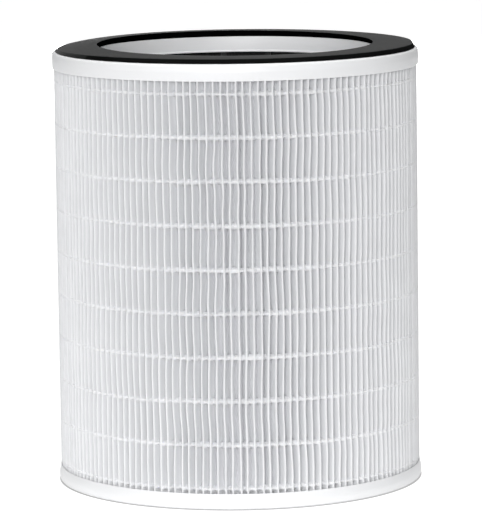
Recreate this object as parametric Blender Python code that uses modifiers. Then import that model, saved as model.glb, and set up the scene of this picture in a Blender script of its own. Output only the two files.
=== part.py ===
# Cylindrical replacement cartridge for a room air purifier.
# A ring of pleated filter paper stands between two moulded end caps. A sleeve of
# activated carbon and its support cage line the bore, and a foam gasket seals the top.
# Metres, +Z up, origin at the centre of the face that the cartridge stands on.

import math

import bmesh
import bpy
from mathutils import Matrix

MM = 0.001

# Driving dimensions
HEIGHT = 261.0 * MM
CAP_RADIUS = 109.3 * MM
BORE_RADIUS = 83.5 * MM
TOP_BAND_HEIGHT = 9.8 * MM
BOTTOM_BAND_HEIGHT = 9.3 * MM
GASKET_SPACE = 3.0 * MM
GAP = 0.3 * MM

# End caps
SKIRT_WALL = 1.3 * MM
COLLAR_WALL = 1.4 * MM
COLLAR_DEPTH = 9.0 * MM
CAP_PLATE = 1.8 * MM
CAP_EDGE = 0.8 * MM
SKIRT_EDGE = 0.4 * MM
CAP_SEGMENTS = 60

# Closed bottom plate with its recess and ribs
RECESS_RADIUS = 82.0 * MM
RECESS_DRAFT = 1.0 * MM
RECESS_DEPTH = 5.0 * MM
RIB_COUNT = 8
RIB_THICKNESS = 1.6 * MM
RIB_INSET = 1.0 * MM
BOSS_RADIUS = 14.0 * MM
BOSS_SEGMENTS = 24
JOIN_OVERLAP = 0.5 * MM

# Foam gasket and the adhesive film under it
GASKET_RADIUS = 108.3 * MM
GASKET_HOLE = 84.3 * MM
GASKET_EDGE = 0.5 * MM
TAPE_THICKNESS = 0.2 * MM
TAPE_MARGIN = 1.0 * MM
TAPE_GAP = 0.2 * MM

# Filter media
PLEAT_COUNT = 156
PLEAT_TIP_RADIUS = 107.7 * MM
PLEAT_ROOT_RADIUS = 92.0 * MM
PLEAT_RADIAL_THICKNESS = 3.4 * MM
POTTING_THICKNESS = 2.0 * MM

# Glue joining the first fold to the last one, at the back
SEAM_WIDTH = 0.6 * MM
SEAM_INNER_RADIUS = 99.0 * MM
SEAM_OUTER_RADIUS = 107.3 * MM
SEAM_END_MARGIN = 6.0 * MM

# Hot-melt beads that hold the folds apart
BEAD_ROWS = 10
BEAD_PITCH = 25.4 * MM
LAST_BEAD_Z = 12.6 * MM
BEAD_INNER_RADIUS = 108.1 * MM
BEAD_OUTER_RADIUS = 108.75 * MM
BEAD_HEIGHT = 2.4 * MM
BEAD_SEGMENTS = 48

# Carbon sleeve, its two nets and the support cage, from the outside in
OUTER_NET_RADIUS = 91.5 * MM
NET_THICKNESS = 0.3 * MM
CARBON_THICKNESS = 2.0 * MM
CAGE_RADIUS = 88.0 * MM
CAGE_THICKNESS = 1.4 * MM
CAGE_WINDOWS = 20
CAGE_ROWS = 5
CAGE_RIB_WIDTH = 3.5 * MM
CAGE_HOOP_HEIGHT = 4.0 * MM
SLEEVE_SEGMENTS = 48

# Places worked out from the driving dimensions
TOP_CAP_TOP = HEIGHT - GASKET_SPACE
CHANNEL_TOP = TOP_CAP_TOP - CAP_PLATE
CHANNEL_BOTTOM = CAP_PLATE
CHANNEL_OUTER = CAP_RADIUS - SKIRT_WALL
CHANNEL_INNER = BORE_RADIUS + COLLAR_WALL
MEDIA_TOP = CHANNEL_TOP - POTTING_THICKNESS - 2.0 * GAP
MEDIA_BOTTOM = CHANNEL_BOTTOM + POTTING_THICKNESS + 2.0 * GAP

SMOOTH_ANGLE = math.radians(35.0)
MERGE_DISTANCE = 0.00001


def clear_scene():
    for item in list(bpy.data.objects):
        bpy.data.objects.remove(item, do_unlink=True)


def make_collection(name):
    collection = bpy.data.collections.new(name)
    bpy.context.scene.collection.children.link(collection)
    return collection


def make_material(name, color, roughness, metallic=0.0):
    material = bpy.data.materials.new(name)
    material.use_nodes = True
    shader = material.node_tree.nodes["Principled BSDF"]
    shader.inputs["Base Color"].default_value = (*color, 1.0)
    shader.inputs["Roughness"].default_value = roughness
    shader.inputs["Metallic"].default_value = metallic
    material.diffuse_color = (*color, 1.0)
    return material


def make_object(name, mesh, collection, material):
    item = bpy.data.objects.new(name, mesh)
    collection.objects.link(item)
    mesh.materials.append(material)
    return item


def freeze(item):
    # The modifiers become the mesh, which is then smooth except at its corners.
    graph = bpy.context.evaluated_depsgraph_get()
    mesh = bpy.data.meshes.new_from_object(item.evaluated_get(graph))
    item.modifiers.clear()
    item.data = mesh
    mesh.shade_smooth()
    mesh.set_sharp_from_angle(angle=SMOOTH_ANGLE)


def turned(name, profile, segments, collection, material, closed=True):
    # The profile is a list of (radius, height), clockwise seen with +X to the right.
    mesh = bpy.data.meshes.new(name)
    shape = bmesh.new()
    points = [shape.verts.new((radius, 0.0, height)) for radius, height in profile]
    for first, second in zip(points, points[1:]):
        shape.edges.new((first, second))
    if closed:
        shape.edges.new((points[-1], points[0]))
    shape.to_mesh(mesh)
    shape.free()
    item = make_object(name, mesh, collection, material)
    screw = item.modifiers.new("Turn", "SCREW")
    screw.axis = "Z"
    screw.angle = math.tau
    screw.steps = segments
    screw.render_steps = segments
    screw.use_merge_vertices = True
    screw.merge_threshold = MERGE_DISTANCE
    return item


def ring(name, inner, outer, bottom, top, segments, collection, material):
    profile = [(outer, top), (outer, bottom), (inner, bottom), (inner, top)]
    return turned(name, profile, segments, collection, material)


def top_end_cap(collection):
    material = make_material("abs_white_top", (0.86, 0.87, 0.87), 0.35)
    skirt_end = TOP_CAP_TOP - TOP_BAND_HEIGHT
    collar_end = TOP_CAP_TOP - COLLAR_DEPTH
    profile = [
        (CAP_RADIUS - CAP_EDGE, TOP_CAP_TOP),
        (CAP_RADIUS, TOP_CAP_TOP - CAP_EDGE),
        (CAP_RADIUS, skirt_end + SKIRT_EDGE),
        (CAP_RADIUS - SKIRT_EDGE, skirt_end),
        (CHANNEL_OUTER, skirt_end),
        (CHANNEL_OUTER, CHANNEL_TOP),
        (CHANNEL_INNER, CHANNEL_TOP),
        (CHANNEL_INNER, collar_end),
        (BORE_RADIUS, collar_end),
        (BORE_RADIUS, TOP_CAP_TOP - SKIRT_EDGE),
        (BORE_RADIUS + SKIRT_EDGE, TOP_CAP_TOP),
    ]
    return turned("top_end_cap", profile, CAP_SEGMENTS, collection, material)


def make_cutter(name, mesh, cutters, material):
    cutter = make_object(name, mesh, cutters, material)
    cutter.hide_render = True
    cutter.display_type = "WIRE"
    return cutter


def rib_tool(name, angle, cutters, material):
    # One radial rib under the closed plate, from the boss to the wall of the recess.
    bottom = RIB_INSET
    top = RECESS_DEPTH + JOIN_OVERLAP
    length = RECESS_RADIUS + JOIN_OVERLAP
    mesh = bpy.data.meshes.new(name)
    shape = bmesh.new()
    bmesh.ops.create_cube(shape, size=1.0)
    size = Matrix.Diagonal((length, RIB_THICKNESS, top - bottom, 1.0))
    place = Matrix.Translation((length / 2.0, 0.0, (top + bottom) / 2.0))
    turn = Matrix.Rotation(angle, 4, "Z")
    bmesh.ops.transform(shape, matrix=turn @ place @ size, verts=shape.verts)
    shape.to_mesh(mesh)
    shape.free()
    return make_cutter(name, mesh, cutters, material)


def boss_tool(name, cutters, material):
    mesh = bpy.data.meshes.new(name)
    shape = bmesh.new()
    top = RECESS_DEPTH + JOIN_OVERLAP
    bmesh.ops.create_cone(
        shape,
        cap_ends=True,
        segments=BOSS_SEGMENTS,
        radius1=BOSS_RADIUS,
        radius2=BOSS_RADIUS,
        depth=top - RIB_INSET,
        matrix=Matrix.Translation((0.0, 0.0, (top + RIB_INSET) / 2.0)),
    )
    shape.to_mesh(mesh)
    shape.free()
    return make_cutter(name, mesh, cutters, material)


def unite(item, tool):
    boolean = item.modifiers.new("Join " + tool.name, "BOOLEAN")
    boolean.operation = "UNION"
    boolean.solver = "EXACT"
    boolean.object = tool


def bottom_end_cap(collection, cutters):
    material = make_material("abs_white_bottom", (0.87, 0.88, 0.88), 0.35)
    plate_top = RECESS_DEPTH + CAP_PLATE
    skirt_end = BOTTOM_BAND_HEIGHT
    profile = [
        (0.0, plate_top),
        (BORE_RADIUS, plate_top),
        (BORE_RADIUS, COLLAR_DEPTH),
        (CHANNEL_INNER, COLLAR_DEPTH),
        (CHANNEL_INNER, CHANNEL_BOTTOM),
        (CHANNEL_OUTER, CHANNEL_BOTTOM),
        (CHANNEL_OUTER, skirt_end),
        (CAP_RADIUS - SKIRT_EDGE, skirt_end),
        (CAP_RADIUS, skirt_end - SKIRT_EDGE),
        (CAP_RADIUS, CAP_EDGE),
        (CAP_RADIUS - CAP_EDGE, 0.0),
        (RECESS_RADIUS, 0.0),
        (RECESS_RADIUS - RECESS_DRAFT, RECESS_DEPTH),
        (0.0, RECESS_DEPTH),
    ]
    cap = turned("bottom_end_cap", profile, CAP_SEGMENTS, collection, material, closed=False)
    unite(cap, boss_tool("boss_tool", cutters, material))
    for number in range(RIB_COUNT):
        angle = math.tau * number / RIB_COUNT
        unite(cap, rib_tool("rib_tool_%d" % (number + 1), angle, cutters, material))
    return cap


def foam_gasket(collection):
    material = make_material("foam_black", (0.012, 0.012, 0.013), 0.9)
    bottom = TOP_CAP_TOP + 2.0 * TAPE_GAP + TAPE_THICKNESS
    profile = [
        (GASKET_RADIUS - GASKET_EDGE, HEIGHT),
        (GASKET_RADIUS, HEIGHT - GASKET_EDGE),
        (GASKET_RADIUS, bottom),
        (GASKET_HOLE, bottom),
        (GASKET_HOLE, HEIGHT - GASKET_EDGE),
        (GASKET_HOLE + GASKET_EDGE, HEIGHT),
    ]
    return turned("foam_gasket", profile, CAP_SEGMENTS, collection, material)


def gasket_tape(collection):
    material = make_material("tape_clear", (0.62, 0.62, 0.60), 0.4)
    bottom = TOP_CAP_TOP + TAPE_GAP
    top = bottom + TAPE_THICKNESS
    inner = GASKET_HOLE + TAPE_MARGIN
    outer = GASKET_RADIUS - TAPE_MARGIN
    return ring("gasket_tape", inner, outer, bottom, top, SLEEVE_SEGMENTS, collection, material)


def potting_rings(collection):
    # Cast glue in each cap's channel, which seals the ends of the folds and the sleeve.
    inner = CHANNEL_INNER + 2.0 * GAP
    outer = PLEAT_TIP_RADIUS
    top_bottom = CHANNEL_TOP - GAP - POTTING_THICKNESS
    low_bottom = CHANNEL_BOTTOM + GAP
    for name, bottom in (("top_potting", top_bottom), ("bottom_potting", low_bottom)):
        material = make_material(name + "_glue", (0.80, 0.78, 0.70), 0.3)
        top = bottom + POTTING_THICKNESS
        ring(name, inner, outer, bottom, top, SLEEVE_SEGMENTS, collection, material)


def pleated_media(collection):
    # A zigzag wall, thickened radially: sharp folds keep their true depth and pitch.
    material = make_material("filter_paper", (0.84, 0.85, 0.85), 0.9)
    half = PLEAT_RADIAL_THICKNESS / 2.0
    mesh = bpy.data.meshes.new("pleated_media")
    shape = bmesh.new()
    folds = []
    for number in range(2 * PLEAT_COUNT):
        angle = math.pi * number / PLEAT_COUNT
        radius = PLEAT_TIP_RADIUS - half if number % 2 == 0 else PLEAT_ROOT_RADIUS + half
        place = (radius * math.cos(angle), radius * math.sin(angle), MEDIA_BOTTOM)
        folds.append(shape.verts.new(place))
    edges = [shape.edges.new(pair) for pair in zip(folds, folds[1:] + folds[:1])]
    raised = bmesh.ops.extrude_edge_only(shape, edges=edges)
    lifted = [part for part in raised["geom"] if isinstance(part, bmesh.types.BMVert)]
    bmesh.ops.translate(shape, vec=(0.0, 0.0, MEDIA_TOP - MEDIA_BOTTOM), verts=lifted)
    bmesh.ops.recalc_face_normals(shape, faces=shape.faces)
    shape.to_mesh(mesh)
    shape.free()
    item = make_object("pleated_media", mesh, collection, material)
    wall = item.modifiers.new("Paper", "SOLIDIFY")
    wall.thickness = PLEAT_RADIAL_THICKNESS
    wall.offset = 0.0
    wall.use_even_offset = False
    return item


def media_seam(collection):
    # A thin fin of glue in one valley at the back, where the strip of paper closes.
    material = make_material("seam_glue", (0.86, 0.85, 0.80), 0.4)
    back_fold = round(PLEAT_COUNT / 4.0)
    angle = math.tau * (back_fold + 0.5) / PLEAT_COUNT
    depth = SEAM_OUTER_RADIUS - SEAM_INNER_RADIUS
    bottom = BOTTOM_BAND_HEIGHT + SEAM_END_MARGIN
    top = TOP_CAP_TOP - TOP_BAND_HEIGHT - SEAM_END_MARGIN
    mesh = bpy.data.meshes.new("media_seam")
    shape = bmesh.new()
    bmesh.ops.create_cube(shape, size=1.0)
    size = Matrix.Diagonal((depth, SEAM_WIDTH, top - bottom, 1.0))
    middle = (SEAM_INNER_RADIUS + SEAM_OUTER_RADIUS) / 2.0
    place = Matrix.Translation((middle, 0.0, (top + bottom) / 2.0))
    turn = Matrix.Rotation(angle, 4, "Z")
    bmesh.ops.transform(shape, matrix=turn @ place @ size, verts=shape.verts)
    shape.to_mesh(mesh)
    shape.free()
    return make_object("media_seam", mesh, collection, material)


def glue_beads(collection):
    # Row 1 is the highest. Each row is a thin ring standing just proud of the folds.
    half = BEAD_HEIGHT / 2.0
    for number in range(BEAD_ROWS):
        name = "glue_bead_%02d" % (number + 1)
        material = make_material(name + "_glue", (0.90, 0.90, 0.88), 0.35)
        height = LAST_BEAD_Z + BEAD_PITCH * (BEAD_ROWS - 1 - number)
        profile = [
            (BEAD_INNER_RADIUS, height + half),
            (BEAD_OUTER_RADIUS, height),
            (BEAD_INNER_RADIUS, height - half),
        ]
        turned(name, profile, BEAD_SEGMENTS, collection, material)


def carbon_sleeve(collection):
    # Granular carbon held between two nets.
    carbon_outer = OUTER_NET_RADIUS - NET_THICKNESS - GAP
    carbon_inner = carbon_outer - CARBON_THICKNESS
    inner_net = carbon_inner - GAP
    layers = (
        ("carbon_outer_net", OUTER_NET_RADIUS - NET_THICKNESS, OUTER_NET_RADIUS, 0.7),
        ("activated_carbon", carbon_inner, carbon_outer, 0.95),
        ("carbon_inner_net", inner_net - NET_THICKNESS, inner_net, 0.7),
    )
    for name, inner, outer, roughness in layers:
        material = make_material(name + "_black", (0.015, 0.015, 0.016), roughness)
        ring(name, inner, outer, MEDIA_BOTTOM, MEDIA_TOP, SLEEVE_SEGMENTS, collection, material)


def cage_levels():
    # Heights where hoops and rows of windows meet, bottom to top.
    inner_height = MEDIA_TOP - MEDIA_BOTTOM
    window = (inner_height - CAGE_HOOP_HEIGHT * (CAGE_ROWS + 1)) / CAGE_ROWS
    levels = []
    height = MEDIA_BOTTOM
    for _row in range(CAGE_ROWS):
        levels.append(height + CAGE_HOOP_HEIGHT)
        levels.append(height + CAGE_HOOP_HEIGHT + window)
        height += CAGE_HOOP_HEIGHT + window
    return levels


def narrow_ribs(shape):
    # Evenly spaced columns become narrow ribs between wide windows.
    step = math.tau / (2 * CAGE_WINDOWS)
    rib_angle = CAGE_RIB_WIDTH / CAGE_RADIUS
    shift = (step - rib_angle) / 2.0
    for point in shape.verts:
        angle = math.atan2(point.co.y, point.co.x) % math.tau
        column = round(angle / step)
        turn = shift if column % 2 == 0 else -shift
        point.co = Matrix.Rotation(turn, 3, "Z") @ point.co


def support_cage(collection):
    material = make_material("cage_black", (0.02, 0.02, 0.021), 0.45)
    levels = cage_levels()
    step = math.tau / (2 * CAGE_WINDOWS)
    mesh = bpy.data.meshes.new("support_cage")
    shape = bmesh.new()
    first = shape.verts.new((CAGE_RADIUS, 0.0, MEDIA_BOTTOM))
    column = [first]
    for height in levels + [MEDIA_TOP]:
        column.append(shape.verts.new((CAGE_RADIUS, 0.0, height)))
    rail = [shape.edges.new(pair) for pair in zip(column, column[1:])]
    bmesh.ops.spin(
        shape,
        geom=column + rail,
        axis=(0.0, 0.0, 1.0),
        cent=(0.0, 0.0, 0.0),
        angle=math.tau,
        steps=2 * CAGE_WINDOWS,
        use_merge=True,
    )
    bmesh.ops.remove_doubles(shape, verts=shape.verts, dist=MERGE_DISTANCE)
    windows = []
    for face in shape.faces:
        middle = face.calc_center_median()
        place = int((math.atan2(middle.y, middle.x) % math.tau) / step)
        row = sum(1 for level in levels if level < middle.z)
        if place % 2 == 1 and row % 2 == 1:
            windows.append(face)
    bmesh.ops.delete(shape, geom=windows, context="FACES")
    narrow_ribs(shape)
    bmesh.ops.recalc_face_normals(shape, faces=shape.faces)
    shape.to_mesh(mesh)
    shape.free()
    item = make_object("support_cage", mesh, collection, material)
    wall = item.modifiers.new("Wall", "SOLIDIFY")
    wall.thickness = CAGE_THICKNESS
    wall.offset = -1.0
    return item


def main():
    clear_scene()
    parts = make_collection("filter_cartridge")
    cutters = make_collection("cutters")
    foam_gasket(parts)
    gasket_tape(parts)
    top_end_cap(parts)
    potting_rings(parts)
    pleated_media(parts)
    media_seam(parts)
    glue_beads(parts)
    carbon_sleeve(parts)
    support_cage(parts)
    bottom_end_cap(parts, cutters)
    for item in parts.objects:
        freeze(item)


main()
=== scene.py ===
import math
import bmesh
import bpy
import numpy as np
from mathutils import Matrix, Vector


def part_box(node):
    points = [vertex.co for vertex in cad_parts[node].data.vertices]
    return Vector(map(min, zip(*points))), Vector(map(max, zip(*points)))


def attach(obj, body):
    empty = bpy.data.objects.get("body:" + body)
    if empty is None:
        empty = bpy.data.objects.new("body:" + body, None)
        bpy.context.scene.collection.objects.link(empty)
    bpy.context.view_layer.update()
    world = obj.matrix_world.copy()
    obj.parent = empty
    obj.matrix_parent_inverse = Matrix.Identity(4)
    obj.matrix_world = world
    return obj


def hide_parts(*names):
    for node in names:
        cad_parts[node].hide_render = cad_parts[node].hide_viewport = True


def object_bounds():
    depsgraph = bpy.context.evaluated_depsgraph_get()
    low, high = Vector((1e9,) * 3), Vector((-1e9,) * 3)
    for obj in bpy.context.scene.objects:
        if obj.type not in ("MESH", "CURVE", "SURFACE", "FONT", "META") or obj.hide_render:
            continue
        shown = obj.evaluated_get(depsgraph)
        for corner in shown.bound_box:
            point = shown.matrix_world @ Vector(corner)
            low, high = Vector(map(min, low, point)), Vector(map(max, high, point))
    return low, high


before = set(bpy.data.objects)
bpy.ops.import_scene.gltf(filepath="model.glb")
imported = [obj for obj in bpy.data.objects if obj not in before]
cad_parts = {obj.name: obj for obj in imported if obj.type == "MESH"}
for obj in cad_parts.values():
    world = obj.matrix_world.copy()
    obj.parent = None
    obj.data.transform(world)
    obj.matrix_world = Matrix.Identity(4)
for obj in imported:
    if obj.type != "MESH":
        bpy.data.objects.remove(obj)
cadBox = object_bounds()
mm = 0.001
body = "root"

# The CAD nodes give every place and size that the fine pieces are built around.
topCapLow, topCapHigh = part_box("top_end_cap")
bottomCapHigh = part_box("bottom_end_cap")[1]
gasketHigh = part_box("foam_gasket")[1]
paperLow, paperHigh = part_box("pleated_media")
capRadius = topCapHigh.x
rowCount = 10
rowHeights = []
for number in range(rowCount):
    low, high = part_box("glue_bead_%02d" % (number + 1))
    rowHeights.append((low.z + high.z) / 2)
print("frame loaded,", len(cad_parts), "nodes")


def makeMesh(name, points, faces, material, sharpAngle=35):
    mesh = bpy.data.meshes.new(name)
    mesh.from_pydata([tuple(point) for point in points], [], faces)
    mesh.materials.append(material)
    smoothMesh(mesh, sharpAngle)
    piece = bpy.data.objects.new(name, mesh)
    bpy.context.scene.collection.objects.link(piece)
    return piece


def smoothMesh(mesh, sharpAngle=35):
    mesh.shade_smooth()
    mesh.set_sharp_from_angle(angle=math.radians(sharpAngle))


def finishPiece(piece, nodeName):
    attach(piece, body)
    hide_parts(nodeName)


def roundCorners(corners, steps=5):
    # Each corner is (radius, height, fillet). Returns the outline with its fillets drawn in.
    straight = math.radians(178)
    outline = []
    count = len(corners)
    for index, (x, z, fillet) in enumerate(corners):
        here = Vector((x, z))
        before = Vector(corners[index - 1][:2]) - here
        after = Vector(corners[(index + 1) % count][:2]) - here
        angle = before.angle(after)
        if fillet <= 0 or angle > straight:
            outline.append((x, z))
            continue
        # A fillet takes less than half of each side, so that two neighbours never meet.
        reach = min(fillet / math.tan(angle / 2), before.length * 0.49, after.length * 0.49)
        radius = reach * math.tan(angle / 2)
        before.normalize()
        after.normalize()
        centre = here + (before + after).normalized() * (radius / math.sin(angle / 2))
        start = here + before * reach - centre
        end = here + after * reach - centre
        sweep = start.angle(end)
        for step in range(steps + 1):
            part = step / steps
            arm = start * math.sin((1 - part) * sweep) + end * math.sin(part * sweep)
            spot = centre + arm / math.sin(sweep)
            outline.append((spot.x, spot.y))
    return outline


def halfCircle(steps):
    # Angles from -90 to +90 degrees.
    return [math.pi * (step / (steps - 1) - 0.5) for step in range(steps)]


def loopFaces(rows, columns, wrapRows=True):
    # Quads over a grid of points that runs row by row. Each row is a closed loop.
    faces = []
    for row in range(rows if wrapRows else rows - 1):
        nextRow = (row + 1) % rows
        for column in range(columns):
            nextColumn = (column + 1) % columns
            faces.append((row * columns + column, row * columns + nextColumn,
                          nextRow * columns + nextColumn, nextRow * columns + column))
    return faces


def placeAcross(turn, radius, across, height):
    # A point out along the line at this angle, and a little across it.
    return (radius * math.cos(turn) - across * math.sin(turn),
            radius * math.sin(turn) + across * math.cos(turn), height)


def turnPoints(outline, segments, reshape=None):
    # Turns a closed outline, clockwise with +X to the right, about the Z axis.
    points = []
    for step in range(segments):
        turn = math.tau * step / segments
        for x, z in outline:
            if reshape:
                x, z = reshape(turn, x, z)
            points.append((x * math.cos(turn), x * math.sin(turn), z))
    return points, loopFaces(segments, len(outline))


def turnOutline(name, outline, material, segments, reshape=None):
    points, faces = turnPoints(outline, segments, reshape)
    return makeMesh(name, points, faces, material)


def ringNoise(generator, count, spread):
    # Smooth random values round a ring, about one in size.
    values = generator.standard_normal(count)
    offsets = np.minimum(np.arange(count), count - np.arange(count))
    window = np.exp(-0.5 * (offsets / spread) ** 2)
    smooth = np.real(np.fft.ifft(np.fft.fft(values) * np.fft.fft(window)))
    return smooth / smooth.std()


def newMaterial(name, color, roughness):
    material = bpy.data.materials.new(name)
    material.use_nodes = True
    nodes = material.node_tree.nodes
    shader = nodes["Principled BSDF"]
    shader.inputs["Base Color"].default_value = (*color, 1)
    shader.inputs["Roughness"].default_value = roughness
    return material, nodes, material.node_tree.links, shader


def addNoise(nodes, links, scale, detail, roughness=0.5, stretch=None):
    coordinates = nodes.new("ShaderNodeTexCoord")
    noise = nodes.new("ShaderNodeTexNoise")
    noise.inputs["Scale"].default_value = scale
    noise.inputs["Detail"].default_value = detail
    noise.inputs["Roughness"].default_value = roughness
    if stretch:
        mapping = nodes.new("ShaderNodeMapping")
        mapping.inputs["Scale"].default_value = stretch
        links.new(coordinates.outputs["Object"], mapping.inputs["Vector"])
        links.new(mapping.outputs["Vector"], noise.inputs["Vector"])
    else:
        links.new(coordinates.outputs["Object"], noise.inputs["Vector"])
    return noise


def addCells(nodes, links, scale):
    coordinates = nodes.new("ShaderNodeTexCoord")
    cells = nodes.new("ShaderNodeTexVoronoi")
    cells.inputs["Scale"].default_value = scale
    links.new(coordinates.outputs["Object"], cells.inputs["Vector"])
    return cells


def addRamp(nodes, links, source, stops):
    ramp = nodes.new("ShaderNodeValToRGB")
    elements = ramp.color_ramp.elements
    while len(elements) < len(stops):
        elements.new(0.5)
    for element, (place, color) in zip(elements, stops):
        element.position = place
        element.color = (*color, 1)
    links.new(source, ramp.inputs["Fac"])
    return ramp


def addVectorMath(nodes, links, operation, source, values=None):
    vectorMath = nodes.new("ShaderNodeVectorMath")
    vectorMath.operation = operation
    if values:
        vectorMath.inputs[1].default_value = values
    links.new(source, vectorMath.inputs[0])
    return vectorMath


def addRange(nodes, links, source, fromLow, fromHigh, toLow=0.0, toHigh=1.0):
    spread = nodes.new("ShaderNodeMapRange")
    spread.inputs["From Min"].default_value = fromLow
    spread.inputs["From Max"].default_value = fromHigh
    spread.inputs["To Min"].default_value = toLow
    spread.inputs["To Max"].default_value = toHigh
    links.new(source, spread.inputs["Value"])
    return spread


def addBump(nodes, links, source, shader, distance, strength=1.0, under=None):
    bump = nodes.new("ShaderNodeBump")
    bump.inputs["Distance"].default_value = distance
    bump.inputs["Strength"].default_value = strength
    links.new(source, bump.inputs["Height"])
    if under:
        links.new(under.outputs["Normal"], bump.inputs["Normal"])
    links.new(bump.outputs["Normal"], shader.inputs["Normal"])
    return bump


def mapRoughness(nodes, links, source, shader, low, high):
    # Noise stays mostly between 0.3 and 0.7.
    spread = addRange(nodes, links, source, 0.3, 0.7, low, high)
    links.new(spread.outputs["Result"], shader.inputs["Roughness"])


# Deep and shallow are measured inwards from the tips of the folds. The valley colour is painted light, and
# the flank colour is painted shade.
paper = {"crest": (0.815, 0.821, 0.835), "flankShade": (0.75, 0.756, 0.771), "valley": (0.82, 0.826, 0.841),
         "deep": 5.5 * mm, "shallow": 0.2 * mm, "stops": (0.22, 0.5, 0.7, 0.82), "shine": 0.2,
         "cloudScale": 55, "cloudShare": 0.35, "fibreScale": 2600, "fibreStretch": (1, 1, 0.45),
         "fibreDepth": 0.06 * mm, "gloss": (0.86, 0.98)}


def filterPaper():
    # Painted light and shade by depth: the valleys are painted lighter, to lift the shade deep in the
    # folds, and the flanks between crest and valley are painted darker, as painted shade.
    material, nodes, links, shader = newMaterial("filterPaper", paper["crest"], 0.92)
    shader.inputs["Specular IOR Level"].default_value = paper["shine"]
    coordinates = nodes.new("ShaderNodeTexCoord")
    flat = addVectorMath(nodes, links, "MULTIPLY", coordinates.outputs["Object"], (1, 1, 0))
    reach = addVectorMath(nodes, links, "LENGTH", flat.outputs["Vector"])
    depth = addRange(nodes, links, reach.outputs["Value"],
                     paperHigh.x - paper["deep"], paperHigh.x - paper["shallow"])
    cloud = addNoise(nodes, links, paper["cloudScale"], 4, 0.6)
    blend = nodes.new("ShaderNodeMix")
    blend.inputs["Factor"].default_value = paper["cloudShare"]
    links.new(depth.outputs["Result"], blend.inputs["A"])
    links.new(cloud.outputs["Fac"], blend.inputs["B"])
    # By depth: painted light in the valleys and painted shade on the flanks.
    colors = [paper["valley"], paper["flankShade"], paper["flankShade"], paper["crest"]]
    ramp = addRamp(nodes, links, blend.outputs["Result"], list(zip(paper["stops"], colors)))
    links.new(ramp.outputs["Color"], shader.inputs["Base Color"])
    fibre = addNoise(nodes, links, paper["fibreScale"], 3, 0.7, paper["fibreStretch"])
    addBump(nodes, links, fibre.outputs["Fac"], shader, paper["fibreDepth"], 0.6)
    mapRoughness(nodes, links, fibre.outputs["Fac"], shader, *paper["gloss"])
    return material


# Glow is light that passes through under the surface, and glowReach how far it goes.
melt = {"lumpScale": 420, "lumpDepth": 0.12 * mm, "gloss": (0.55, 0.75), "shine": 0.25,
        "glow": 0.1, "glowReach": (1.6 * mm, 1.5 * mm, 1.3 * mm),
        "colors": {"hotMelt": ((0.82, 0.825, 0.84), (0.76, 0.765, 0.78)),
                   "castGlue": ((0.82, 0.80, 0.72), (0.76, 0.74, 0.65)),
                   "adhesiveFilm": ((0.5, 0.5, 0.48), (0.42, 0.42, 0.40))}}


def hotMelt(name):
    color, dull = melt["colors"][name]
    material, nodes, links, shader = newMaterial(name, color, 0.65)
    shader.inputs["Specular IOR Level"].default_value = melt["shine"]
    shader.inputs["Subsurface Weight"].default_value = melt["glow"]
    shader.inputs["Subsurface Radius"].default_value = melt["glowReach"]
    shader.inputs["Subsurface Scale"].default_value = 1.0
    lumps = addNoise(nodes, links, melt["lumpScale"], 2)
    ramp = addRamp(nodes, links, lumps.outputs["Fac"], [(0.35, dull), (0.6, color)])
    links.new(ramp.outputs["Color"], shader.inputs["Base Color"])
    addBump(nodes, links, lumps.outputs["Fac"], shader, melt["lumpDepth"], 0.5)
    mapRoughness(nodes, links, lumps.outputs["Fac"], shader, *melt["gloss"])
    return material


whitePlastic = {"color": (0.91, 0.918, 0.932), "warm": (0.90, 0.906, 0.916), "cloudScale": 26,
                "grainScale": 1900, "grainDepth": 0.012 * mm, "gloss": (0.30, 0.40),
                "glow": 0.08, "glowReach": (2 * mm, 2 * mm, 2 * mm)}


def whiteMoulding():
    material, nodes, links, shader = newMaterial("whiteMoulding", whitePlastic["color"], 0.35)
    shader.inputs["Subsurface Weight"].default_value = whitePlastic["glow"]
    shader.inputs["Subsurface Radius"].default_value = whitePlastic["glowReach"]
    shader.inputs["Subsurface Scale"].default_value = 1.0
    cloud = addNoise(nodes, links, whitePlastic["cloudScale"], 3)
    stops = [(0.35, whitePlastic["warm"]), (0.6, whitePlastic["color"])]
    ramp = addRamp(nodes, links, cloud.outputs["Fac"], stops)
    links.new(ramp.outputs["Color"], shader.inputs["Base Color"])
    grain = addNoise(nodes, links, whitePlastic["grainScale"], 2)
    addBump(nodes, links, grain.outputs["Fac"], shader, whitePlastic["grainDepth"], 0.4)
    mapRoughness(nodes, links, cloud.outputs["Fac"], shader, *whitePlastic["gloss"])
    return material


# Three copies of the foam, picked by which way a face points: the top is paler and has a sheen, as a lit
# copy, and the walls facing in and out are painted darker, as painted shade.
foam = {"cellScale": 1500, "cellDepth": 0.08 * mm, "cloudScale": 40, "gloss": (0.7, 0.85),
        "foamLitTop": {"dark": (0.006, 0.0065, 0.0065), "pale": (0.009, 0.0097, 0.0097),
                     "shine": 0.08, "sheen": 0.17},
        "foamInnerWallShade": {"dark": (0.0008, 0.0008, 0.0009), "pale": (0.0014, 0.0014, 0.0015),
                        "shine": 0.0, "sheen": 0.0},
        "foamOuterWallShade": {"dark": (0.0025, 0.0027, 0.0027), "pale": (0.004, 0.0043, 0.0043),
                          "shine": 0.04, "sheen": 0.0}}


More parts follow.
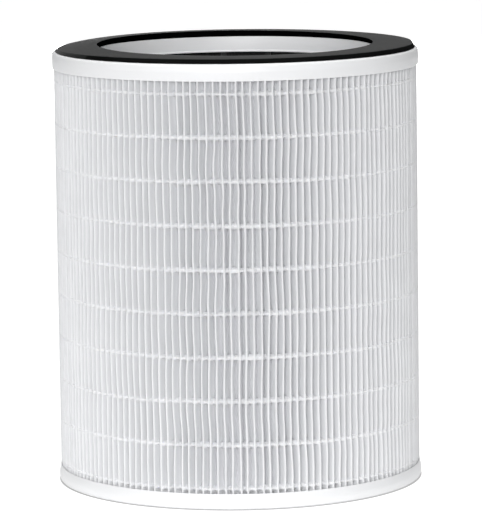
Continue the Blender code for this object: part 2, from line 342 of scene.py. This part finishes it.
def blackFoam(name):
    look = foam[name]
    material, nodes, links, shader = newMaterial(name, look["pale"], 0.5)
    shader.inputs["Specular IOR Level"].default_value = look["shine"]
    shader.inputs["Sheen Weight"].default_value = look["sheen"]
    shader.inputs["Sheen Roughness"].default_value = 0.35
    cells = addCells(nodes, links, foam["cellScale"])
    cloud = addNoise(nodes, links, foam["cloudScale"], 4, 0.6)
    ramp = addRamp(nodes, links, cloud.outputs["Fac"], [(0.35, look["dark"]), (0.65, look["pale"])])
    links.new(ramp.outputs["Color"], shader.inputs["Base Color"])
    addBump(nodes, links, cells.outputs["Distance"], shader, foam["cellDepth"], 0.4)
    mapRoughness(nodes, links, cloud.outputs["Fac"], shader, *foam["gloss"])
    return material


granules = {"color": (0.012, 0.012, 0.013), "facetHighlight": (0.022, 0.022, 0.023), "gapShade": (0.004, 0.004, 0.004),
            "grainScale": 620, "grainDepth": 0.6 * mm, "netScale": 1800, "netDepth": 0.1 * mm}


def blackGranules():
    # Crushed carbon behind a fine net: irregular grains, painted brighter at their middles as painted
    # highlights, and darker in the gaps between them as painted shade.
    material, nodes, links, shader = newMaterial("blackGranules", granules["color"], 0.7)
    grains = addCells(nodes, links, granules["grainScale"])
    # Painted highlight at the middle of each grain, painted shade in the gaps.
    stops = [(0.0, granules["facetHighlight"]), (0.6, granules["gapShade"])]
    ramp = addRamp(nodes, links, grains.outputs["Distance"], stops)
    links.new(ramp.outputs["Color"], shader.inputs["Base Color"])
    lumps = addBump(nodes, links, grains.outputs["Distance"], shader, -granules["grainDepth"], 0.8)
    weave = addNoise(nodes, links, granules["netScale"], 2)
    addBump(nodes, links, weave.outputs["Fac"], shader, granules["netDepth"], 0.4, lumps)
    return material


cagePlastic = {"color": (0.018, 0.018, 0.019), "grainScale": 1400, "grainDepth": 0.03 * mm,
               "cloudScale": 60, "gloss": (0.36, 0.5)}


def blackPlastic():
    material, nodes, links, shader = newMaterial("blackPlastic", cagePlastic["color"], 0.42)
    grain = addNoise(nodes, links, cagePlastic["grainScale"], 2)
    addBump(nodes, links, grain.outputs["Fac"], shader, cagePlastic["grainDepth"], 0.5)
    cloud = addNoise(nodes, links, cagePlastic["cloudScale"], 2)
    mapRoughness(nodes, links, cloud.outputs["Fac"], shader, *cagePlastic["gloss"])
    return material


paperLook = filterPaper()
glueLook = hotMelt("hotMelt")
pottingLook = hotMelt("castGlue")
tapeLook = hotMelt("adhesiveFilm")
mouldingLook = whiteMoulding()
foamLook = blackFoam("foamLitTop")
innerWallShadeLook = blackFoam("foamInnerWallShade")
outerWallShadeLook = blackFoam("foamOuterWallShade")
granuleLook = blackGranules()
plasticLook = blackPlastic()
print("materials made")


# Distance and height in metres, angles in radians, lens and sensor in millimetres.
view = {"distance": 2.2746, "height": 0.44842, "yaw": 0.00084, "pitch": 0.13856,
        "roll": -0.01371, "lens": 265.67, "sensor": 36, "farthest": 100}


def makeCamera():
    data = bpy.data.cameras.new("view")
    data.lens = view["lens"]
    data.sensor_width = view["sensor"]
    data.sensor_fit = "AUTO"
    data.clip_end = view["farthest"]
    camera = bpy.data.objects.new("view", data)
    bpy.context.scene.collection.objects.link(camera)
    yaw, pitch, roll = view["yaw"], view["pitch"], view["roll"]
    level = math.cos(pitch)
    forward = Vector((math.sin(yaw) * level, math.cos(yaw) * level, -math.sin(pitch)))
    right = Vector((math.cos(yaw), -math.sin(yaw), 0))
    up = right.cross(forward)
    across = right * math.cos(roll) + up * math.sin(roll)
    over = up * math.cos(roll) - right * math.sin(roll)
    turn = Matrix((across, over, -forward)).transposed().to_4x4()
    camera.matrix_world = Matrix.Translation((0, -view["distance"], view["height"])) @ turn
    bpy.context.scene.camera = camera


makeCamera()
bpy.context.scene.view_settings.view_transform = "Standard"
print("camera placed")


# Sways, bows and twists move a fold sideways. A run is how many folds lean the same way.
folds = {"count": 156, "tip": paperHigh.x + 0.2 * mm, "root": 101.2 * mm, "tipWidth": 0.5 * mm,
         "tipWidthError": 0.1, "paper": 0.42 * mm, "bodyWidth": 1.12 * mm, "bodyPlace": 0.42,
         "bodySway": 0.55, "innerNose": 0.45, "rootShare": 0.3, "rowSway": 0.28 * mm, "rowRun": 4.5,
         "ownSway": 0.13 * mm, "bow": 0.16 * mm, "bowRun": 5, "ownBow": 0.3, "twist": 0.10 * mm,
         "twistRun": 4, "pitchError": 0.16 * mm, "depthError": 0.12 * mm, "topSway": 0.4,
         "bottomSway": 0.5, "topBow": 0.3, "endRise": 2.8 * mm, "endReach": 15 * mm, "steps": 5,
         "endSteps": 3, "arc": 5, "seed": 20}
chance = np.random.default_rng(folds["seed"])
foldCount = folds["count"]
foldTurns = math.tau * np.arange(foldCount) / foldCount
heldHeights = [paperHigh.z] + rowHeights + [paperLow.z]
spanCount = len(heldHeights) - 1
heldSway = np.array([ringNoise(chance, foldCount, folds["rowRun"]) for _ in heldHeights])
heldSway *= folds["rowSway"]
heldSway += chance.standard_normal(heldSway.shape) * folds["ownSway"]
heldSway[0] *= folds["topSway"]
heldSway[-1] *= folds["bottomSway"]
heldSway += chance.standard_normal(foldCount) * folds["pitchError"]
bowSway = np.array([ringNoise(chance, foldCount, folds["bowRun"]) for _ in range(spanCount)])
bowSway *= folds["bow"]
bowSway += chance.standard_normal(bowSway.shape) * folds["bow"] * folds["ownBow"]
bowSway[0] *= folds["topBow"]
twistSway = np.array([ringNoise(chance, foldCount, folds["twistRun"]) for _ in range(spanCount)])
twistSway *= folds["twist"]
twistSway[0] *= folds["topBow"]
tipError = chance.standard_normal(foldCount) * folds["depthError"]
widthError = 1 + folds["tipWidthError"] * chance.standard_normal(foldCount)


def tipSway(span, part):
    # Sideways offset of every fold's tip, part of the way from one glue row to the next.
    blend = 0.5 * part + 0.5 * part * part * (3 - 2 * part)
    held = heldSway[span] * (1 - blend) + heldSway[span + 1] * blend
    return held + bowSway[span] * math.sin(math.pi * part) + twistSway[span] * math.sin(math.tau * part)


def foldOutline(sway, height):
    # One level of the paper: outer and inner outlines, as (across, radius) from each fold's own line.
    tip = folds["tip"] + tipError
    width = folds["tipWidth"] * widthError
    fromEnd = min(paperHigh.z - height, height - paperLow.z)  # cast glue fills the valleys near the caps
    root = folds["root"] + folds["endRise"] * max(1 - fromEnd / folds["endReach"], 0)
    half = math.pi * root / foldCount
    share = folds["rootShare"]
    nextSway = np.roll(sway, -1)
    lastSway = np.roll(sway, 1)
    outer = [(-half + share * (sway + lastSway) / 2, np.full(foldCount, root))]
    bodyRadius = root + (tip - root) * folds["bodyPlace"]
    bodyWidth = folds["bodyWidth"]
    bodySway = sway * folds["bodySway"]
    outer.append((bodySway - bodyWidth, bodyRadius))
    for lean in halfCircle(folds["arc"]):
        outer.append((sway + width * math.sin(lean), tip - width + width * math.cos(lean)))
    outer.append((bodySway + bodyWidth, bodyRadius))
    thick = folds["paper"]
    low = np.full(foldCount, root - thick * 2)
    nose = width * folds["innerNose"]
    valley = half + share * (sway + nextSway) / 2
    inner = [(sway - nose, tip - width), (sway + nose, tip - width),
             (valley - thick, low), (valley + thick, low)]
    return outer, inner


def placeOutline(outline, height):
    rows = []
    for across, radius in outline:
        turn = foldTurns + across / radius
        level = np.full(foldCount, height)
        rows.append(np.stack([radius * np.cos(turn), radius * np.sin(turn), level], axis=1))
    return np.stack(rows, axis=1).reshape(-1, 3)


def makePaper():
    outerLevels = []
    innerLevels = []
    for span in range(spanCount):
        last = span == spanCount - 1
        steps = folds["steps"] if 0 < span < spanCount - 1 else folds["endSteps"]
        for step in range(steps + (1 if last else 0)):
            part = step / steps
            height = heldHeights[span] * (1 - part) + heldHeights[span + 1] * part
            outer, inner = foldOutline(tipSway(span, part), height)
            outerLevels.append(placeOutline(outer, height))
            innerLevels.append(placeOutline(inner, height))
    levels = len(outerLevels)
    outerWide = len(outerLevels[0])
    innerWide = len(innerLevels[0])
    points = np.concatenate(outerLevels + innerLevels)
    faces = [tuple(reversed(face)) for face in loopFaces(levels, outerWide, wrapRows=False)]
    start = levels * outerWide
    for face in loopFaces(levels, innerWide, wrapRows=False):
        faces.append(tuple(index + start for index in face))
    # The cut ends of the paper close the outer skin to the inner one, fold by fold.
    perOuter = outerWide // foldCount
    perInner = innerWide // foldCount
    for level, flip in ((0, False), (levels - 1, True)):
        outerStart = level * outerWide
        innerStart = start + level * innerWide
        for fold in range(foldCount):
            edge = [outerStart + (fold * perOuter + step) % outerWide for step in range(perOuter + 1)]
            back = [innerStart + (fold * perInner + step) % innerWide
                    for step in range(perInner - 1, -2, -1)]
            face = edge + back
            faces.append(tuple(reversed(face)) if flip else tuple(face))
    piece = makeMesh("foldedPaper", points, faces, paperLook, sharpAngle=60)
    finishPiece(piece, "pleated_media")


makePaper()
print("paper folded")


# Halves are up and down from the row's middle. Errors and blob are shares of a size.
glue = {"stations": 8, "proud": 0.12 * mm, "sag": 2.0 * mm, "sagError": 0.35, "tipHalf": 1.0 * mm,
        "blob": 0.16, "webHalf": 0.85 * mm, "webError": 0.22, "pinch": 1.6, "nose": 0.8 * mm,
        "flare": 0.8 * mm, "lastFlare": 2.4, "foot": 103.2 * mm, "wander": 0.16 * mm, "wanderRun": 2,
        "slump": 0.3 * mm, "lastSlump": 0.45 * mm, "arc": 5, "seed": 61}


def makeGlueRow(number, generator):
    sway = heldSway[number + 1]
    turns = foldTurns + sway / folds["tip"]
    spacing = (np.roll(turns, -1) - turns) % math.tau
    tip = folds["tip"] + tipError
    blob = 1 + glue["blob"] * generator.standard_normal(foldCount)
    sag = glue["sag"] * np.clip(1 + glue["sagError"] * generator.standard_normal(foldCount), 0.3, 2)
    web = glue["webHalf"] * np.clip(1 + glue["webError"] * generator.standard_normal(foldCount), 0.6, 1.6)
    wander = glue["wander"] * ringNoise(generator, foldCount, glue["wanderRun"])
    slump = glue["slump"] + glue["lastSlump"] * (number / (rowCount - 1)) ** 2
    rowHeight = rowHeights[number] - slump
    flare = glue["flare"] * (glue["lastFlare"] if number == rowCount - 1 else 1)
    nose = glue["nose"]
    stations = glue["stations"]
    points = []
    for fold in range(foldCount):
        after = (fold + 1) % foldCount
        for station in range(stations):
            part = station / stations
            near = abs(math.cos(math.pi * part)) ** glue["pinch"]  # 1 at a tip, 0 half way to the next
            turn = turns[fold] + spacing[fold] * part
            tipHere = tip[fold] * (1 - part) + tip[after] * part
            blobHere = blob[fold] if part < 0.5 else blob[after]
            front = tipHere + glue["proud"] * near * blobHere - sag[fold] * (1 - near)
            half = glue["tipHalf"] * blobHere * near + web[fold] * (1 - near)
            height = rowHeight + wander[fold] * (1 - part) + wander[after] * part
            section = [(front - nose + nose * math.cos(lean), -half * math.sin(lean))
                       for lean in halfCircle(glue["arc"])]
            section += [(glue["foot"], -half - flare), (glue["foot"], half + glue["flare"])]
            for radius, rise in section:
                points.append((radius * math.cos(turn), radius * math.sin(turn), height + rise))
    faces = loopFaces(foldCount * stations, glue["arc"] + 2)
    piece = makeMesh("glueRow%02d" % (number + 1), points, faces, glueLook, sharpAngle=70)
    finishPiece(piece, "glue_bead_%02d" % (number + 1))


glueChance = np.random.default_rng(glue["seed"])
for rowNumber in range(rowCount):
    makeGlueRow(rowNumber, glueChance)
print("glue rows laid")


seam = {"width": 0.9 * mm, "outer": 106.4 * mm, "foot": 101.4 * mm, "levels": 120, "arc": 5,
        "wave": 0.25 * mm, "waveRun": 2.5, "sideWave": 0.12 * mm, "sideRun": 6, "seed": 9}


def makeSeam():
    # The strip of paper closes into a ring here: a bead of glue down one valley at the back.
    low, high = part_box("media_seam")
    middle = (low + high) / 2
    turn = math.atan2(middle.y, middle.x)
    generator = np.random.default_rng(seam["seed"])
    levels = seam["levels"]
    wave = ringNoise(generator, levels, seam["waveRun"]) * seam["wave"]
    sideWave = ringNoise(generator, levels, seam["sideRun"]) * seam["sideWave"]
    half = seam["width"] / 2
    points = []
    for level in range(levels):
        height = low.z + (high.z - low.z) * level / (levels - 1)
        front = seam["outer"] + wave[level] - half
        section = [(seam["foot"], -half)]
        for lean in halfCircle(seam["arc"]):
            section.append((front + half * math.cos(lean), half * math.sin(lean)))
        section.append((seam["foot"], half))
        for radius, across in section:
            points.append(placeAcross(turn, radius, across + sideWave[level], height))
    wide = seam["arc"] + 2
    start = (levels - 1) * wide
    faces = loopFaces(levels, wide, wrapRows=False)
    faces.append(tuple(reversed(range(wide))))
    faces.append(tuple(range(start, start + wide)))
    piece = makeMesh("seamBead", points, faces, glueLook, sharpAngle=60)
    finishPiece(piece, "media_seam")


makeSeam()
print("seam closed")


# Edges are fillets. A bend is how far from the cap's flat end its band is widest.
moulding = {"wall": 1.3 * mm, "collarWall": 1.4 * mm, "collarDepth": 9 * mm, "plate": 1.8 * mm,
            "draft": 0.35 * mm, "edge": 1.2 * mm, "skirtEdge": 1.0 * mm, "fineEdge": 0.2 * mm,
            "innerEdge": 0.3 * mm, "topBend": 4.5 * mm, "topCurve": 6 * mm, "lip": 0.3 * mm,
            "lipHeight": 0.9 * mm, "lipEdge": 0.25 * mm, "bore": 82.2 * mm, "rim": 0.55 * mm,
            "rimWidth": 1.2 * mm, "rimFoot": 2.0 * mm, "segments": 256,
            "recess": 5.0 * mm, "recessRadius": 82.0 * mm, "recessDraft": 1 * mm,
            "recessEdge": 0.6 * mm, "wellEdge": 0.4 * mm, "bottomBend": 4.2 * mm,
            "bottomCurve": 9 * mm, "footEdge": 1.6 * mm, "pinhole": 0.02 * mm,
            "ribs": 8, "ribWidth": 1.6 * mm, "ribInset": 1.0 * mm, "ribNose": 0.8, "ribArc": 7,
            "ribOverlap": 1.5 * mm, "ribGap": 0.4 * mm, "sunk": 0.3 * mm, "boss": 14.0 * mm,
            "bossEdge": 0.8 * mm, "bossDraft": 0.3 * mm, "bossSegments": 64, "dimple": 5.0 * mm,
            "dimpleDepth": 0.8 * mm, "dimpleDraft": 0.5 * mm}


def makeTopCap():
    top = topCapHigh.z
    skirt = topCapLow.z
    under = top - moulding["plate"]
    inside = capRadius - moulding["wall"]
    bore = moulding["bore"]
    outer = bore + moulding["collarWall"]
    collar = top - moulding["collarDepth"]
    lip = moulding["lip"]
    lipTop = collar + moulding["lipHeight"]
    rim = top + moulding["rim"]
    fine, inner, lipEdge = moulding["fineEdge"], moulding["innerEdge"], moulding["lipEdge"]
    corners = [
        (capRadius - moulding["draft"], top, moulding["edge"]),
        (capRadius, top - moulding["topBend"], moulding["topCurve"]),
        (capRadius - 0.5 * moulding["draft"], skirt, moulding["skirtEdge"]),
        (inside, skirt, fine),
        (inside, under, inner),
        (outer, under, inner),
        (outer, collar, fine),
        (bore - lip, collar, lipEdge),
        (bore - lip, lipTop, lipEdge),
        (bore, lipTop + lip, fine),
        (bore, rim, lipEdge),
        (bore + moulding["rimWidth"], rim, inner),
        (bore + moulding["rimFoot"], top, inner),
    ]
    piece = turnOutline("topCap", roundCorners(corners), mouldingLook, moulding["segments"])
    finishPiece(piece, "top_end_cap")


def ribShell(turn):
    # One radial rib under the plate, with a rounded lower edge.
    half = moulding["ribWidth"] / 2
    nose = half * moulding["ribNose"]
    low = moulding["ribInset"]
    high = moulding["recess"] + moulding["sunk"]
    section = [(half, high)]
    for step in range(moulding["ribArc"]):
        lean = math.pi * step / (moulding["ribArc"] - 1)
        section.append((nose * math.cos(lean), low + nose - nose * math.sin(lean)))
    section.append((-half, high))
    ends = (moulding["boss"] - moulding["ribOverlap"], moulding["recessRadius"] - moulding["ribGap"])
    points = [placeAcross(turn, radius, across, height) for radius in ends for across, height in section]
    count = len(section)
    faces = [tuple(range(count)), tuple(reversed(range(count, 2 * count)))]
    for step in range(count):
        after = (step + 1) % count
        faces.append((step, step + count, after + count, after))
    return points, faces


def bossShell():
    radius = moulding["boss"]
    low = moulding["ribInset"]
    high = moulding["recess"] + moulding["sunk"]
    dimple = moulding["dimple"]
    hollow = low + moulding["dimpleDepth"]
    corners = [
        (moulding["pinhole"], high, 0),
        (radius + moulding["bossDraft"], high, 0),
        (radius, low, moulding["bossEdge"]),
        (dimple, low, moulding["innerEdge"]),
        (dimple - moulding["dimpleDraft"], hollow, moulding["wellEdge"]),
        (moulding["pinhole"], hollow, 0),
    ]
    return turnPoints(roundCorners(corners), moulding["bossSegments"])


def joinShells(piece, shells):
    shape = bmesh.new()
    shape.from_mesh(piece.data)
    for points, faces in shells:
        corners = [shape.verts.new(point) for point in points]
        for face in faces:
            shape.faces.new([corners[index] for index in face])
    shape.to_mesh(piece.data)
    shape.free()
    smoothMesh(piece.data)


def makeBottomCap():
    # The outline closes just short of the axis, so the plate has a pinhole in its middle.
    top = bottomCapHigh.z
    inside = capRadius - moulding["wall"]
    bore = moulding["bore"]
    outer = bore + moulding["collarWall"]
    plate = moulding["plate"]
    recess = moulding["recess"]
    recessRadius = moulding["recessRadius"]
    collar = moulding["collarDepth"]
    fine, inner, well = moulding["fineEdge"], moulding["innerEdge"], moulding["wellEdge"]
    corners = [
        (moulding["pinhole"], recess + plate, 0),
        (bore, recess + plate, well),
        (bore, collar, well),
        (outer, collar, well),
        (outer, plate, inner),
        (inside, plate, inner),
        (inside, top, fine),
        (capRadius - 3 * moulding["draft"], top, fine),
        (capRadius, moulding["bottomBend"], moulding["bottomCurve"]),
        (capRadius - moulding["draft"], 0, moulding["footEdge"]),
        (recessRadius, 0, moulding["recessEdge"]),
        (recessRadius - moulding["recessDraft"], recess, moulding["recessEdge"]),
        (moulding["pinhole"], recess, 0),
    ]
    piece = turnOutline("bottomCap", roundCorners(corners), mouldingLook, moulding["segments"])
    shells = [ribShell(math.tau * number / moulding["ribs"]) for number in range(moulding["ribs"])]
    joinShells(piece, shells + [bossShell()])
    finishPiece(piece, "bottom_end_cap")


makeTopCap()
makeBottomCap()
print("caps moulded")


# Places and widths of the dip and the curl are in degrees round the ring.
gasket = {"foot": 107.3 * mm, "outer": 105.9 * mm, "inner": 82.2 * mm, "top": gasketHigh.z,
          "outerEdge": 0.5 * mm, "innerEdge": 0.12 * mm, "footEdge": 0.15 * mm, "cutEdge": 0.05 * mm,
          "segments": 320, "arc": 4, "waver": 0.07 * mm, "outerRun": 9, "topRun": 14, "topWaver": 0.6,
          "innerWaver": 0.4, "seed": 5, "tilt": 0.22 * mm, "dip": 1.6 * mm, "dipPlace": 172,
          "dipWidth": 36, "curl": 0.5 * mm, "curlTilt": 0.8 * mm, "curlPlace": 115,
          "rise": 0.62 * mm, "riseFrom": 4.2 * mm, "riseTo": 2.2 * mm,
          "facingIn": -0.7, "facingOut": 0.85,
          "film": 0.2 * mm, "filmGap": 0.02 * mm, "filmOuter": 0.8 * mm, "filmInner": 4.6 * mm,
          "filmSegments": 128}


def makeGasket():
    # The foam rides up on the rim of the collar, and was pressed down more on the left.
    generator = np.random.default_rng(gasket["seed"])
    segments = gasket["segments"]
    outerWave = ringNoise(generator, segments, gasket["outerRun"]) * gasket["waver"]
    topWave = ringNoise(generator, segments, gasket["topRun"]) * gasket["waver"] * gasket["topWaver"]
    bottom = topCapHigh.z + gasket["film"]
    outer, inner, top = gasket["outer"], gasket["inner"], gasket["top"]
    width = outer - inner
    corners = [
        (outer, top, gasket["outerEdge"]),
        (gasket["foot"], bottom, gasket["footEdge"]),
        (inner + gasket["riseFrom"], bottom, 0),
        (inner + gasket["riseTo"], bottom, 0),
        (inner, bottom, gasket["cutEdge"]),
        (inner, top, gasket["innerEdge"]),
        (inner + width * 0.25, top, 0),
        (inner + width * 0.5, top, 0),
        (inner + width * 0.75, top, 0),
    ]

    def reshape(turn, x, z):
        index = round(turn / math.tau * segments) % segments
        angle = math.degrees(turn)
        away = (angle - gasket["dipPlace"] + 180) % 360 - 180
        dip = gasket["dip"] * math.exp(-(away / gasket["dipWidth"]) ** 2)
        atOuter = gasket["tilt"] * math.sin(turn) - dip
        atInner = gasket["curl"] + gasket["curlTilt"] * math.cos(math.radians(angle - gasket["curlPlace"]))
        share = min(max((x - inner) / width, 0), 1)
        height = (z - bottom) / (top - bottom)
        slope = (inner + gasket["riseFrom"] - x) / (gasket["riseFrom"] - gasket["riseTo"])
        ride = gasket["rise"] * min(max(slope, 0), 1)
        lift = height * (atOuter * share + atInner * (1 - share) + topWave[index]) + (1 - height) * ride
        wave = outerWave[index] * (1 if share > 0.5 else gasket["innerWaver"])
        return x + wave, z + lift

    outline = roundCorners(corners, gasket["arc"])
    piece = turnOutline("foamGasket", outline, foamLook, segments, reshape)
    piece.data.materials.append(innerWallShadeLook)
    piece.data.materials.append(outerWallShadeLook)
    # Faces that point in or out get the darker copies, as painted shade on the walls; the top keeps the
    # lit copy.
    for face in piece.data.polygons:
        spot = face.center
        outwards = face.normal.dot(Vector((spot.x, spot.y, 0)).normalized())
        if outwards < gasket["facingIn"]:
            face.material_index = 1
        elif outwards > gasket["facingOut"]:
            face.material_index = 2
    finishPiece(piece, "foam_gasket")


def makeGasketFilm():
    low = topCapHigh.z + gasket["filmGap"]
    high = topCapHigh.z + gasket["film"] - gasket["filmGap"]
    outside = gasket["foot"] - gasket["filmOuter"]
    inside = gasket["inner"] + gasket["filmInner"]
    corners = [(outside, high, 0), (outside, low, 0), (inside, low, 0), (inside, high, 0)]
    piece = turnOutline("gasketFilm", roundCorners(corners), tapeLook, gasket["filmSegments"])
    finishPiece(piece, "gasket_tape")


makeGasket()
makeGasketFilm()
print("gasket laid")


# The inner pieces keep their CAD shape and get a new finish.
keptLooks = {"activated_carbon": granuleLook, "carbon_inner_net": granuleLook,
             "carbon_outer_net": granuleLook, "support_cage": plasticLook,
             "top_potting": pottingLook, "bottom_potting": pottingLook}
for nodeName, look in keptLooks.items():
    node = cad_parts[nodeName]
    node.data.materials.clear()
    node.data.materials.append(look)
print("inner pieces finished")


# The floor's glow falls from glowNear to glowFar, between glowFrom and glowTo, in metres. glowUnder dims
# it under the object and in a thin ring at its foot, as a painted contact shadow.
studio = {"floor": (0.12, 0.12, 0.12), "floorDull": 0.995, "floorSize": 60, "floorGap": 0.1 * mm,
          "glowNear": 1.0, "glowFar": 0.36, "glowFrom": 0.165, "glowTo": 0.5, "glowUnder": 0.4,
          "coverEdge": 0.2 * mm, "coverFade": 0.5 * mm, "stripSquash": (0.25, 1, 0), "world": 0.0,
          "aim": (0, 0, 0.13),
          "lights": {"front": {"place": (-0.25, -3.2, 1.0), "size": (2.0, 1.8), "power": 67},
                     "left": {"place": (-2.0, -2.0, 1.0), "size": (1.0, 1.4), "power": 7.5},
                     "right": {"place": (2.0, -2.0, 1.0), "size": (1.0, 1.4), "power": 2},
                     "overhead": {"place": (0, -0.1, 1.6), "size": (1.2, 1.2), "power": 19},
                     "back": {"place": (0, 3.2, 0.12), "size": (1.0, 0.2), "power": 38}}}


def makeFloor():
    # A light table: the floor beside and behind the object glows, and the floor before it less.
    half = studio["floorSize"] / 2
    material, nodes, links, shader = newMaterial("lightTable", studio["floor"], 0.9)
    shader.inputs["Emission Color"].default_value = (1, 1, 1, 1)
    coordinates = nodes.new("ShaderNodeTexCoord")
    strip = addVectorMath(nodes, links, "MINIMUM", coordinates.outputs["Object"], (half, 0, 0))
    squeezed = addVectorMath(nodes, links, "MULTIPLY", strip.outputs["Vector"], studio["stripSquash"])
    away = addVectorMath(nodes, links, "LENGTH", squeezed.outputs["Vector"])
    glow = addRange(nodes, links, away.outputs["Value"], studio["glowFrom"], studio["glowTo"],
                    studio["glowNear"], studio["glowFar"])
    glow.interpolation_type = "SMOOTHSTEP"
    # Less light comes from under the object, where it would shine up into its edges. The dimmer glow also
    # shows in a thin ring at the cap's foot, as a painted contact shadow.
    reach = addVectorMath(nodes, links, "LENGTH", coordinates.outputs["Object"])
    edge = capRadius - studio["coverEdge"]
    contactShadow = addRange(nodes, links, reach.outputs["Value"], edge, edge + studio["coverFade"],
                       studio["glowUnder"])
    strength = nodes.new("ShaderNodeMath")
    strength.operation = "MULTIPLY"
    links.new(glow.outputs["Result"], strength.inputs[0])
    links.new(contactShadow.outputs["Result"], strength.inputs[1])
    links.new(strength.outputs["Value"], shader.inputs["Emission Strength"])
    cloud = addNoise(nodes, links, 3, 3)
    pale = studio["floor"]
    dull = tuple(part * studio["floorDull"] for part in pale)
    ramp = addRamp(nodes, links, cloud.outputs["Fac"], [(0.3, dull), (0.7, pale)])
    links.new(ramp.outputs["Color"], shader.inputs["Base Color"])
    points = [(-half, -half, 0), (half, -half, 0), (half, half, 0), (-half, half, 0)]
    floor = makeMesh("floor", points, [(0, 1, 2, 3)], material)
    floor.location.z = cadBox[0].z - studio["floorGap"]


def makeStudio():
    world = bpy.data.worlds.new("studio")
    bpy.context.scene.world = world
    world.use_nodes = True
    world.node_tree.nodes["Background"].inputs["Strength"].default_value = studio["world"]
    for name, choice in studio["lights"].items():
        data = bpy.data.lights.new(name, "AREA")
        data.shape = "RECTANGLE"
        data.size, data.size_y = choice["size"]
        data.energy = choice["power"]
        light = bpy.data.objects.new(name, data)
        bpy.context.scene.collection.objects.link(light)
        light.location = choice["place"]
        aim = Vector(studio["aim"]) - Vector(choice["place"])
        light.rotation_euler = aim.to_track_quat("-Z", "Y").to_euler()


makeFloor()
makeStudio()
print("studio lit")
